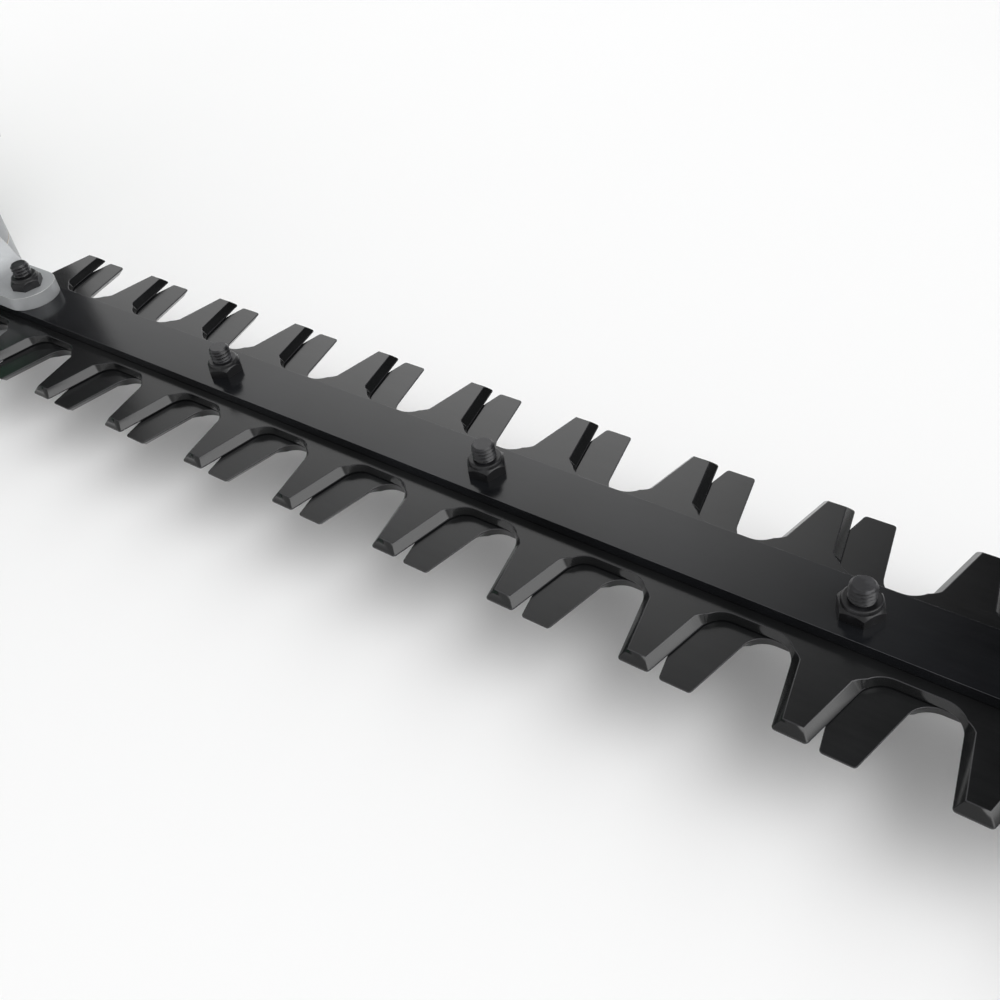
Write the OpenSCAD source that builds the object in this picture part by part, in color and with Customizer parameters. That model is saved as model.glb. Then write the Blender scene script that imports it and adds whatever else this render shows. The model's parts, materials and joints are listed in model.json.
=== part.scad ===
// Battery hedge trimmer with a double-sided, double-acting cutter bar.
// +X runs along the cutter to its tip, +Z is up, and the floor is Z = 0.
// The origin is where the drive gear's axis meets the underside of the gear case cover.

/* [Cutter] */
// Distance from one tooth to the next
tooth_pitch = 38; // [34:1:40]
// Teeth on the far side of each blade; the near side has one more
teeth = 15; // [10:1:16]
// Distance from the centre line to the tooth tips
tooth_reach = 35; // [32:0.5:38]
// Width of a tooth at its tip
tip_w = 8; // [6:0.5:9]
// How much a tooth flank leans, as a tangent
flank_lean = 0.22; // [0.15:0.01:0.26]
// Distance from the centre line to the bottom of the gaps between teeth
pocket_y = 12.5; // [12:0.5:14]
// Fillet at the foot of each tooth
pocket_r = 6; // [4:0.5:8]
// Thickness of each blade
blade_t = 2.6; // [2.2:0.1:3]
// Width of the ground bevel along the cutting edges
bevel_w = 2; // [1:0.1:2.5]
// Width of the guide bar
bar_w = 18; // [16:0.5:20]
// Thickness of the guide bar
bar_t = 3; // [2.5:0.1:3.5]
// Distance from one blade bolt to the next
bolt_pitch = 105; // [100:1:110]
// Number of blade bolts
bolts = 6; // [4:1:6]
// Thread diameter of the blade bolts
bolt_d = 6; // [5:1:6]
// Height of a blade nut
nut_h = 4.4; // [4:0.2:6]

/* [Drive] */
// Gear module
gear_module = 1.25; // [1.25:0.05:1.3]
// Teeth of the drive gear
gear_teeth = 48; // [46:2:48]
// Teeth of the motor pinion
pinion_teeth = 12; // [12:1:13]
// Offset of each cam from the gear axis, which is half the blade's stroke
throw = 9.5; // [8:0.5:9.5]
// Radius of each cam
cam_r = 16.5; // [16:0.25:16.5]
// Distance from the gear axis to the first blade bolt
nose_x = 100; // [98:1:104]

/* [Body] */
// Radius of the gear case round the drive gear
case_r = 43.5; // [43:0.5:45]
// Wall of the plastic housing
wall = 2.6; // [2:0.1:3]
// Radius of the front handle's tube
hoop_r = 10; // [9:0.5:11]
// Half width of the front handle, to the middle of its tube
hoop_half_w = 66; // [62:1:68]
// Length of the battery
battery_l = 112; // [110:1:114]
// Width of the battery
battery_w = 72; // [70:1:74]

/* [Hidden] */
$fn = 48;

slack = 0.2;              // gap between faces that slide on each other
cut = 0.1;                // how far a cutting solid runs past a face
hull_fn = 28;

// Heights of the cutter's layers
lower_z = 24;
upper_z = lower_z + blade_t + slack;
bar_z = upper_z + blade_t + slack;
bar_top = bar_z + bar_t;
tongue_top = bar_top + 5;
washer_t = 1.6;
washer_z = lower_z - slack - washer_t;
head_h = 4;

// Lengths of the cutter
blade_tail = 24;
bar_tail = 40;
first_far_tooth = nose_x - 8.5;
lower_shift = 10.7;
last_tooth = first_far_tooth + lower_shift + (teeth - 0.5) * tooth_pitch;
bar_end = last_tooth + throw + 11;
collar_r = 4.5;
bolt_r = bolt_d / 2;
thread_out = 4.4;
function bolt_x(i) = nose_x + i * bolt_pitch;

// Gear train
gear_r = gear_module * gear_teeth / 2;
pinion_r = gear_module * pinion_teeth / 2;
motor_x = -(gear_r + pinion_r);
gear_z = 40;
gear_h = 10;
gear_shaft_r = 5;
motor_shaft_r = 4;

// Gear case
cavity_r = case_r - 4;
motor_seat_r = 31;
cover_h = 22;
gasket_t = 0.5;
case_z = cover_h + gasket_t;
shoulder_z = 46;
case_top = 62.5;
ear_r = 6.5;
tongue_r = 9.6;
ears = [[-19, 42.5], [-66, 16.5], [-19, -42.5], [-66, -16.5]];
chin_front = nose_x - 40;

// Motor
can_r = 30;
can_top = 117;
stack_z = 70;
stack_h = 26;
rotor_r = 15;
motor_screw_r = 20;

// Rear handle, as [x, z, radius] stations along its upper and lower bars
upper_bar = [
    [-52, 104, 22], [-95, 138, 19], [-140, 156, 17], [-200, 157, 16.5], [-252, 138, 19], [-275, 96, 24]
];
lower_bar = [[-66, 68, 20], [-130, 68, 15], [-205, 76, 17], [-235, 84, 20]];
dock = [[-312, -212], [-38, 38], [56.3, 104]];

// Trigger, lock button and front handle
trigger_pivot = [-118, 147];
lock_at = [-128, 167];
hoop_x = -31;
hoop_tilt = 8;
hoop_low = 84;
hoop_high = 190;
hoop_bend = 26;
lever_z = 164;
guard_x = 6;

// Battery
battery_x = -206;
battery_h = 56;
rail_half_w = 22.5;
cell_r = 9;
cell_l = 65;

// ---------- shared shapes ----------

// A flat plate outline round the gear axis and the motor axis, with straight tangents between them
module pear(r1, r2, h) {
    reach = -motor_x;
    turn = acos(-(r1 - r2) / reach);
    linear_extrude(h) {
        circle(r1, $fn = 96);
        translate([motor_x, 0]) circle(r2, $fn = 96);
        polygon([
            [r1 * cos(turn), r1 * sin(turn)], [motor_x + r2 * cos(turn), r2 * sin(turn)],
            [motor_x + r2 * cos(turn), -r2 * sin(turn)], [r1 * cos(turn), -r1 * sin(turn)]
        ]);
    }
}

// A hexagonal nut or screw head whose upper corners are turned off, with an optional bore
module hex_body(across_flats, h, bore_r = 0) {
    corner_r = across_flats / 2 / cos(30);
    chamfer = 0.9;
    difference() {
        intersection() {
            cylinder(h = h, r = corner_r, $fn = 6);
            rotate_extrude() polygon([
                [0, 0], [corner_r + 1, 0], [corner_r + 1, h - chamfer - 1],
                [across_flats / 2 - 0.2, h], [0, h]
            ]);
        }
        if (bore_r > 0) translate([0, 0, -cut]) cylinder(h = h + 2 * cut, r = bore_r);
    }
}

// A pan-head screw along +Z whose head sits below Z = 0
module pan_screw(r, l, head_r, head_t) {
    cylinder(h = l, r = r, $fn = 32);
    translate([0, 0, -head_t]) difference() {
        cylinder(h = head_t, r1 = head_r - 0.6, r2 = head_r, $fn = 32);
        translate([0, 0, -cut]) cylinder(h = head_t / 2, r = head_r * 0.42, $fn = 6);
    }
}

// A deep-groove ball bearing standing on Z = 0: outer ring, inner ring and balls
module ball_bearing(bore_r, outer_r, h, balls) {
    mid_r = (bore_r + outer_r) / 2;
    ball_r = (outer_r - bore_r) * 0.26;
    ring_t = (outer_r - bore_r) * 0.3;
    module groove() translate([0, 0, h / 2]) rotate_extrude() translate([mid_r, 0]) circle(ball_r + 0.05);
    difference() {
        union() {
            difference() {
                cylinder(h = h, r = outer_r);
                translate([0, 0, -cut]) cylinder(h = h + 2 * cut, r = outer_r - ring_t);
            }
            difference() {
                cylinder(h = h, r = bore_r + ring_t);
                translate([0, 0, -cut]) cylinder(h = h + 2 * cut, r = bore_r);
            }
        }
        groove();
    }
    for (i = [0:balls - 1]) rotate([0, 0, i * 360 / balls]) translate([mid_r, 0, h / 2])
        sphere(ball_r, $fn = 24);
}

// Angle by which an involute has turned where it reaches radius r
function involute_turn(base_r, r) = let (a = acos(base_r / r)) tan(a) * 180 / PI - a;

// Outline of a spur gear with involute flanks; addendum is in modules
function gear_points(count, addendum, backlash) = let (
    pitch_r = gear_module * count / 2,
    base_r = pitch_r * cos(20),
    tip_r = pitch_r + gear_module * addendum,
    root_r = pitch_r - gear_module * 1.2,
    half = 90 / count - backlash,
    steps = [for (k = [0:4]) max(base_r, root_r) + (tip_r - max(base_r, root_r)) * k / 4],
    flank = [for (r = steps) [r, half + involute_turn(base_r, pitch_r) - involute_turn(base_r, r)]],
    foot = [root_r, flank[0][1]]
) [
    for (t = [0:count - 1]) let (a = t * 360 / count)
        for (p = concat([[foot[0], -foot[1]]], [for (f = flank) [f[0], -f[1]]],
                        [for (k = [4:-1:0]) flank[k]], [foot]))
            [p[0] * cos(a + p[1]), p[0] * sin(a + p[1])]
];

// ---------- cutter ----------

// One side of a tooth, from the gap on its left to the gap on its right, with y away from the centre line
function tooth_side(xc) = let (
    slant = sqrt(1 + flank_lean * flank_lean),
    fillet_x = tip_w / 2 + flank_lean * (tooth_reach - pocket_y - pocket_r) + pocket_r * slant,
    first = 180 + atan(flank_lean),
    arc = [for (k = [0:5]) let (a = first + (270 - first) * k / 5)
        [fillet_x + pocket_r * cos(a), pocket_y + pocket_r + pocket_r * sin(a)]]
) concat(
    [for (k = [5:-1:0]) [xc - arc[k][0], arc[k][1]]],
    [[xc - tip_w / 2, tooth_reach], [xc + tip_w / 2, tooth_reach]],
    [for (p = arc) [xc + p[0], p[1]]]
);

// Outline of a blade whose first far tooth is at x; the near teeth start half a pitch before it.
// The outer flank of the last near tooth runs straight down to the blade's square end.
function blade_outline(x) = let (
    foot = x + (teeth - 0.5) * tooth_pitch + tip_w / 2 + flank_lean * (tooth_reach - pocket_y)
) concat(
    [[blade_tail, -pocket_y], [blade_tail, pocket_y]],
    [for (k = [0:teeth - 1]) for (p = tooth_side(x + k * tooth_pitch)) p],
    [[foot - 5, pocket_y], [foot, pocket_y - 5], [foot, -pocket_y]],
    [for (k = [teeth:-1:0]) let (side = tooth_side(x + (k - 0.5) * tooth_pitch))
        for (j = [k < teeth ? len(side) - 1 : 7:-1:0]) [side[j][0], -side[j][1]]]
);

// Cuts that bevel the flanks, fillets and tip of the tooth at xc, from the face at Z = 0 downwards
module tooth_bevels(xc, gap) {
    land = 0.4;
    drop = blade_t - land;
    slant = sqrt(1 + flank_lean * flank_lean);
    fillet_x = tip_w / 2 + flank_lean * (tooth_reach - pocket_y - pocket_r) + pocket_r * slant;
    flank_l = (tooth_reach - pocket_y - pocket_r + pocket_r * sin(atan(flank_lean))) * slant;
    section = [[1, 1], [-bevel_w - bevel_w / drop, 1], [0.001, -drop], [1, -drop]];
    for (side = [-1, 1]) translate([xc + side * fillet_x, pocket_y + pocket_r, -drop])
        cylinder(h = drop * 1.5, r1 = pocket_r - 0.25, r2 = pocket_r - 0.25 + bevel_w * 1.5, $fn = 48);
    for (side = [-1, 1]) translate([xc + side * tip_w / 2, tooth_reach, 0])
        rotate([0, 0, side * atan(flank_lean)]) mirror([side < 0 ? 1 : 0, 0, 0])
            rotate([90, 0, 0]) translate([0, 0, -3]) linear_extrude(flank_l + 3) polygon(section);
    translate([xc, tooth_reach, 0]) rotate([0, 0, 90]) rotate([90, 0, 0])
        linear_extrude(tip_w + 2, center = true) polygon(section);
    if (gap) translate([xc + tooth_pitch / 2, pocket_y, 0]) rotate([0, 0, 90]) rotate([90, 0, 0])
        linear_extrude(tooth_pitch - 2 * fillet_x, center = true) polygon(section);
}

// A slot along X, or along Y when turned, centred on the origin
module slot_cut(half_l, r) {
    for (s = [-1, 1]) translate([s * half_l, 0, -cut]) cylinder(h = blade_t + 2 * cut, r = r);
    translate([-half_l, -r, -cut]) cube([2 * half_l, 2 * r, blade_t + 2 * cut]);
}

// A toothed blade lying on Z = 0: yoke round its cam at the tail, slots for the collars, bevels on one face
module blade(x, bevels_up) {
    yoke_slot_r = cam_r + 0.2105 * throw + 0.15;
    yoke_r = yoke_slot_r + 6;
    difference() {
        union() {
            linear_extrude(blade_t) polygon(blade_outline(x));
            for (s = [-1, 1]) translate([0, s * throw, 0]) cylinder(h = blade_t, r = yoke_r, $fn = 96);
            translate([-yoke_r, -throw, 0]) cube([2 * yoke_r, 2 * throw, blade_t]);
        }
        rotate([0, 0, 90]) slot_cut(throw, yoke_slot_r);
        for (i = [0:bolts - 1]) translate([bolt_x(i), 0, 0]) slot_cut(throw + 0.2, collar_r + 0.3);
        translate([0, 0, bevels_up ? blade_t : 0]) mirror([0, 0, bevels_up ? 0 : 1]) {
            for (k = [0:teeth - 1]) tooth_bevels(x + k * tooth_pitch, k < teeth - 1);
            mirror([0, 1, 0]) for (k = [0:teeth]) tooth_bevels(x + (k - 0.5) * tooth_pitch, k < teeth);
        }
    }
}

module upper_blade() color("#26272a") translate([0, 0, upper_z]) blade(first_far_tooth, true);

module lower_blade() color("#26272a")
    translate([0, 0, lower_z]) blade(first_far_tooth + lower_shift, false);

module guide_bar() color("#2a2b2e") translate([0, 0, bar_z]) difference() {
    union() {
        translate([bar_tail, -bar_w / 2, 0]) cube([bar_end - bar_w / 2 - bar_tail, bar_w, bar_t]);
        translate([bar_end - bar_w / 2, 0, 0]) cylinder(h = bar_t, r = bar_w / 2);
    }
    for (i = [0:bolts - 1]) translate([bolt_x(i), 0, -cut]) cylinder(h = bar_t + 2 * cut, r = bolt_r + 0.2);
    translate([52, 0, -cut]) cylinder(h = bar_t + 2 * cut, r = 2.5);
}

// The seat of each nut: the first stands on the gear case's tongue, the others on the bar
function nut_seat(i) = i == 0 ? tongue_top : bar_top;

// Bolt with a hexagonal head below the blades, a plain shank and ring-cut thread above the nut
module blade_bolts() color("#1d1d1f") for (i = [0:bolts - 1]) translate([bolt_x(i), 0, 0]) {
    top = nut_seat(i) + nut_h + thread_out;
    start = top - thread_out - 1.4;
    thread_p = 1;
    rings = 5;
    translate([0, 0, washer_z - head_h]) hex_body(10, head_h);
    rotate_extrude() polygon(concat(
        [[0, washer_z], [bolt_r, washer_z], [bolt_r, start]],
        [for (k = [0:rings - 1]) for (p = [[bolt_r - 0.5, start + (k + 0.5) * thread_p],
                                           [bolt_r, start + (k + 1) * thread_p]]) p],
        [[bolt_r - 0.7, top], [0, top]]
    ));
}

// Where each nut came to rest when it was tightened, degrees
nut_turns = [15, 25, 10, 29, 48, 5];

// Lock nuts: a hexagon under a round collar that holds a locking ring
module blade_nuts() color("#1d1d1f") for (i = [0:bolts - 1])
    translate([bolt_x(i), 0, nut_seat(i)]) rotate([0, 0, nut_turns[i]]) difference() {
        union() {
            hex_body(10, nut_h - 1.2);
            rotate_extrude() polygon([
                [0, 1], [4.7, 1], [4.7, nut_h - 0.6], [4.5, nut_h - 0.2], [4.1, nut_h], [0, nut_h]
            ]);
        }
        translate([0, 0, -cut]) cylinder(h = nut_h + 2 * cut, r = bolt_r + 0.05);
    }

module blade_washers() color("#3a3a3c") for (i = [0:bolts - 1])
    translate([bolt_x(i), 0, washer_z]) difference() {
        cylinder(h = washer_t, r = 9);
        translate([0, 0, -cut]) cylinder(h = washer_t + 2 * cut, r = bolt_r + 0.1);
    }

module blade_collars() color("silver") for (i = [0:bolts - 1])
    translate([bolt_x(i), 0, washer_z + washer_t]) difference() {
        cylinder(h = bar_z - washer_z - washer_t, r = collar_r);
        translate([0, 0, -cut]) cylinder(h = 20, r = bolt_r + 0.1);
    }

module bar_dowel() color("silver") translate([52, 0, bar_z]) cylinder(h = 10.4, r = 2.5);

// ---------- gear case ----------

// The neck above the guide bar: its side profile cut by a rounded cross-section, ending in a tongue
module neck() {
    intersection() {
        translate([0, 20, 0]) rotate([90, 0, 0]) linear_extrude(40) polygon([
            [30, bar_top], [nose_x, bar_top], [nose_x, tongue_top], [nose_x - 14, tongue_top],
            [nose_x - 17, tongue_top + 1], [nose_x - 20, tongue_top + 4], [nose_x - 27, tongue_top + 14],
            [nose_x - 36, tongue_top + 20], [46, case_top - 2], [30, case_top - 1]
        ]);
        translate([20, 0, 0]) rotate([90, 0, 90]) linear_extrude(90) polygon([
            [-tongue_r, bar_top], [tongue_r, bar_top], [tongue_r, tongue_top + 6],
            [8, tongue_top + 16], [5, case_top],
            [-5, case_top], [-8, tongue_top + 16], [-tongue_r, tongue_top + 6]
        ]);
    }
    translate([nose_x, 0, bar_top]) cylinder(h = tongue_top - bar_top, r = tongue_r);
}

module gear_case() color("#b9bcbc") difference() {
    union() {
        translate([0, 0, case_z]) pear(case_r, motor_seat_r + 1, shoulder_z - case_z);
        translate([0, 0, shoulder_z]) cylinder(h = 4, r = case_r - 3.5, $fn = 96);
        translate([0, 0, shoulder_z + 4])
            cylinder(h = case_top - shoulder_z - 4, r1 = case_r - 3.5, r2 = 33, $fn = 96);
        translate([motor_x, 0, shoulder_z]) cylinder(h = case_top - shoulder_z, r = motor_seat_r, $fn = 96);
        for (e = ears) translate([e[0], e[1], case_z]) cylinder(h = 14, r = ear_r);
        neck();
    }
    translate([0, 0, case_z - cut]) cylinder(h = 13.6, r = cavity_r, $fn = 96);
    translate([0, 0, 35]) cylinder(h = 16, r = gear_r + 3, $fn = 96);
    translate([motor_x, 0, 35]) cylinder(h = 18, r = 11);
    translate([0, 0, 50.9]) cylinder(h = 9.1, r = 13);
    translate([motor_x, 0, 50]) cylinder(h = 10, r = 11);
    translate([motor_x, 0, 59]) cylinder(h = 5, r = 7);
    translate([34, -pocket_y - 0.8, case_z - cut]) cube([12, 2 * pocket_y + 1.6, bar_z - case_z + cut]);
    translate([34, -bar_w / 2 - 0.1, bar_z - 1]) cube([12, bar_w + 0.2, bar_t + 1]);
    translate([52, 0, bar_top - cut]) cylinder(h = 7.5 + cut, r = 2.5);
    translate([nose_x, 0, bar_top - cut]) cylinder(h = 6, r = bolt_r + 0.3);
    for (e = ears) translate([e[0], e[1], case_z - cut]) cylinder(h = 12, r = 2.5);
    for (a = [45:90:315]) translate([motor_x + motor_screw_r * cos(a), motor_screw_r * sin(a), 54])
        cylinder(h = 10, r = 2);
}

module lower_cover() color("#aeb1b1") difference() {
    union() {
        difference() {
            union() {
                pear(case_r, motor_seat_r + 1, cover_h);
                translate([30, -12, 0]) cube([chin_front - 36, 24, cover_h - 2]);
                for (s = [-1, 1]) translate([chin_front - 6, s * 6, 0]) cylinder(h = cover_h - 2, r = 6);
                translate([chin_front - 8, -6, 0]) cube([8, 12, cover_h - 2]);
                for (e = ears) translate([e[0], e[1], 0]) cylinder(h = cover_h, r = ear_r);
            }
            translate([0, 0, 4]) pear(cavity_r, motor_seat_r - 4, cover_h);
            translate([50, 0, 5]) cylinder(h = 30, r = 5);
        }
        cylinder(h = 13, r = 17);
    }
    translate([0, 0, 5]) cylinder(h = 9, r = 13);
    for (e = ears) translate([e[0], e[1], -cut]) {
        cylinder(h = cover_h + 1, r = 2.6);
        cylinder(h = 5 + cut, r = 4.8);
    }
}

module case_gasket() color("#6b5b45") translate([0, 0, cover_h]) difference() {
    union() {
        pear(case_r, motor_seat_r + 1, gasket_t);
        for (e = ears) translate([e[0], e[1], 0]) cylinder(h = gasket_t, r = ear_r);
    }
    translate([0, 0, -cut]) pear(cavity_r, motor_seat_r - 4, 1);
    for (e = ears) translate([e[0], e[1], -cut]) cylinder(h = 1, r = 2.6);
}

module cover_screws() color("silver")
    for (e = ears) translate([e[0], e[1], 5]) pan_screw(2.45, 27, 4.3, 3.5);

// ---------- drive ----------

module drive_gear() color("#8d9094") difference() {
    union() {
        translate([0, 0, gear_z]) linear_extrude(gear_h) polygon(gear_points(gear_teeth, 0.75, 0.06));
        translate([0, 0, upper_z + blade_t + slack]) cylinder(h = gear_z - bar_z + 1, r = 9);
    }
    translate([0, 0, 20]) cylinder(h = 40, r = gear_shaft_r);
    for (a = [0:60:300]) rotate([0, 0, a]) translate([18, 0, gear_z - cut])
        cylinder(h = gear_h + 1, r = 4.5);
}

module gear_shaft() color("silver") translate([0, 0, 5.2]) cylinder(h = 54.6, r = gear_shaft_r);

module cam(side) difference() {
    translate([0, side * throw, 0]) cylinder(h = blade_t, r = cam_r, $fn = 96);
    translate([0, 0, -cut]) cylinder(h = blade_t + 1, r = gear_shaft_r);
}

module upper_cam() color("#9a9ca0") translate([0, 0, upper_z]) cam(-1);

module lower_cam() color("#9a9ca0") translate([0, 0, lower_z]) cam(1);

module cam_spacer() color("#9a9ca0") translate([0, 0, 13.2]) difference() {
    cylinder(h = lower_z - 13.2, r = 7);
    translate([0, 0, -cut]) cylinder(h = 20, r = gear_shaft_r);
}

module gear_bearing_lower() color("silver")
    translate([0, 0, 5]) ball_bearing(gear_shaft_r + 0.05, 13, 8, 8);

module gear_bearing_upper() color("silver")
    translate([0, 0, 52]) ball_bearing(gear_shaft_r + 0.05, 13, 8, 8);

module pinion() color("#9a9ca0") translate([motor_x, 0, gear_z - 0.5]) difference() {
    rotate([0, 0, 180 / pinion_teeth]) linear_extrude(gear_h + 1) polygon(gear_points(pinion_teeth, 1, 0.4));
    translate([0, 0, -cut]) cylinder(h = gear_h + 2, r = motor_shaft_r);
}

// ---------- motor ----------

module on_motor(z) translate([motor_x, 0, z]) children();

module motor_shaft() color("silver") on_motor(38.5) cylinder(h = 80.3, r = motor_shaft_r);

module rotor_core() color("#7e8084") on_motor(stack_z) difference() {
    cylinder(h = stack_h, r = rotor_r - 2);
    translate([0, 0, -cut]) cylinder(h = stack_h + 1, r = motor_shaft_r);
}

module rotor_magnets() color("#55575b") on_motor(stack_z) difference() {
    cylinder(h = stack_h, r = rotor_r);
    translate([0, 0, -cut]) cylinder(h = stack_h + 1, r = rotor_r - 2);
    for (a = [0:90:270]) rotate([0, 0, a]) translate([0, -0.75, -cut])
        cube([rotor_r + 1, 1.5, stack_h + 1]);
}

stator_teeth = 9;
module stator_core() color("#606368") on_motor(stack_z) difference() {
    cylinder(h = stack_h, r = can_r - 1.7, $fn = 96);
    translate([0, 0, -cut]) cylinder(h = stack_h + 1, r = rotor_r + 0.6);
    for (i = [0:stator_teeth - 1]) rotate([0, 0, i * 360 / stator_teeth]) translate([0, 0, -cut])
        linear_extrude(stack_h + 1) polygon([
            [14, -1], [18, -1], [18.5, -3.2], [24.5, -5.4], [24.5, 5.4], [18.5, 3.2], [18, 1], [14, 1]
        ]);
}

// One coil round each stator tooth: two sides in the slots and two end turns
module stator_windings() color("#b8733a") on_motor(stack_z) for (i = [0:stator_teeth - 1])
    rotate([0, 0, (i + 0.5) * 360 / stator_teeth]) difference() {
        translate([18.9, -5.2, -3.2]) cube([5, 10.4, stack_h + 6.4]);
        translate([15, -3.6, -0.3]) cube([12, 7.2, stack_h + 0.6]);
        for (s = [-1, 1]) rotate([0, 0, s * 180 / stator_teeth]) translate([10, s > 0 ? -0.2 : -2.8, -5])
            cube([20, 3, stack_h + 10]);
        for (s = [-1, 1]) rotate([0, 0, s * 180 / stator_teeth])
            translate([10, s > 0 ? -0.2 : -5.8, -5]) cube([20, 6, stack_h + 10]);
    }

module motor_can() color("#44464a") on_motor(case_top) difference() {
    cylinder(h = can_top - case_top, r = can_r, $fn = 96);
    translate([0, 0, 2.5]) cylinder(h = 80, r = can_r - 1.6, $fn = 96);
    translate([0, 0, -cut]) cylinder(h = 5, r = 8);
    for (a = [45:90:315]) rotate([0, 0, a]) translate([motor_screw_r, 0, -cut]) cylinder(h = 5, r = 2.1);
}

module motor_end_bell() color("#a8abac") on_motor(can_top) difference() {
    union() {
        cylinder(h = 4, r = can_r, $fn = 96);
        translate([0, 0, -5.2]) cylinder(h = 6, r = 14);
    }
    translate([0, 0, -5.3]) cylinder(h = 7.3, r = 11);
    translate([0, 0, 1]) cylinder(h = 5, r = 5);
    for (a = [0:45:315]) rotate([0, 0, a]) translate([20.5, 0, -cut]) cylinder(h = 5, r = 4);
}

module motor_bearing_lower() color("silver") on_motor(53) ball_bearing(motor_shaft_r + 0.05, 11, 7, 7);

module motor_bearing_upper() color("silver") on_motor(111.9) ball_bearing(motor_shaft_r + 0.05, 11, 7, 7);

module cooling_fan() color("#303236") on_motor(101) difference() {
    union() {
        cylinder(h = 1.6, r = 24);
        cylinder(h = 9, r = 6.5);
        for (a = [0:40:320]) rotate([0, 0, a]) translate([6, -0.8, 1]) cube([17.5, 1.6, 8]);
    }
    translate([0, 0, -cut]) cylinder(h = 12, r = motor_shaft_r);
}

module motor_screws() color("silver") on_motor(case_top + 2.5) for (a = [45:90:315])
    rotate([0, 0, a]) translate([motor_screw_r, 0, 0]) mirror([0, 0, 1]) pan_screw(1.95, 10, 3.4, 1.6);

// ---------- housing ----------

// The motor cowl, shrunk by inset
module cowl(inset) hull() {
    translate([0, 0, shoulder_z + slack]) cylinder(h = 10, r = case_r + 3 - inset, $fn = 40);
    on_motor(shoulder_z + slack) cylinder(h = 16, r = 41 - inset, $fn = 40);
    on_motor(114) rotate_extrude($fn = 40) translate([25, 0]) circle(13 - inset, $fn = 20);
}

// A bar of the handle: rounded links between its stations, shrunk by inset
module bar_links(stations, inset, squeeze) for (i = [0:len(stations) - 2]) hull()
    for (s = [stations[i], stations[i + 1]]) translate([s[0], 0, s[1]])
        scale([1, squeeze, 1]) sphere(s[2] - inset, $fn = hull_fn);

module dock_body(inset) hull() for (x = dock[0]) for (y = dock[1]) for (z = dock[2])
    translate([x + (x < -260 ? 9 : -9), y - sign(y) * 9, z < 80 ? z + 9 : z - 9]) {
        sphere(9 - inset, $fn = 20);
        if (z < 80) translate([0, 0, -9 + inset]) cylinder(h = 5, r = 9 - inset, $fn = 20);
    }

guard_boss_y = 50.5;
guard_boss_z = 62;

module housing_outer() {
    cowl(0);
    bar_links(upper_bar, 0, 0.9);
    bar_links(lower_bar, 0, 0.95);
    dock_body(0);
}

module housing_solid() difference() {
    housing_outer();
    difference() {
        union() {
            cowl(wall);
            bar_links(upper_bar, wall, 0.88);
            bar_links(lower_bar, wall + 1, 0.93);
            intersection() {
                dock_body(wall);
                translate([-320, -50, 65]) cube([120, 100, 80]);
            }
        }
        translate([-320, -50, 0]) cube([120, 100, 65]);
    }
    // opening over the gear case's shoulder and neck
    translate([0, 0, shoulder_z - 2]) cylinder(h = 17, r = case_r - 3.2, $fn = 64);
    on_motor(shoulder_z - 2) cylinder(h = 18, r = motor_seat_r + 0.3, $fn = 64);
    translate([30, -13, shoulder_z - 2]) cube([40, 26, case_top - shoulder_z + 2.4]);
    // battery channel: a neck slot under a wider head slot, open to the rear
    translate([-330, -rail_half_w + 3.2, 50]) cube([330 + battery_x - 2.2, 2 * rail_half_w - 6.4, 12]);
    translate([-330, -rail_half_w - 0.4, 58.1]) cube([330 + battery_x - 2.2, 2 * rail_half_w + 0.8, 3.5]);
    // trigger and lock button openings
    translate([-158, -6.4, 115]) cube([44, 12.8, 33]);
    translate([lock_at[0] - 10.4, -6.9, 160]) cube([20.8, 13.8, 20]);
    // slots that the terminal blades hang through
    for (y = [-10, 0, 10]) translate([-228.3, y - 0.8, 60]) cube([12.6, 1.6, 6]);
    // cooling vents on both sides of the cowl and in the dock
    for (s = [-1, 1]) for (i = [0:4]) translate([-70 + i * 8, s > 0 ? 26 : -60, 100]) cube([3.2, 34, 16]);
    for (s = [-1, 1]) for (i = [0:4]) translate([-290 + i * 8, s > 0 ? 33 : -60, 74]) cube([3.2, 27, 18]);
}

screw_posts = [[-88, 68], [-150, 68], [-92, 136], [-250, 147], [-303, 72], [-228, 92]];

module half_space(side) translate([-400, side > 0 ? 0 : -100, -10]) cube([600, 100, 300]);

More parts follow.
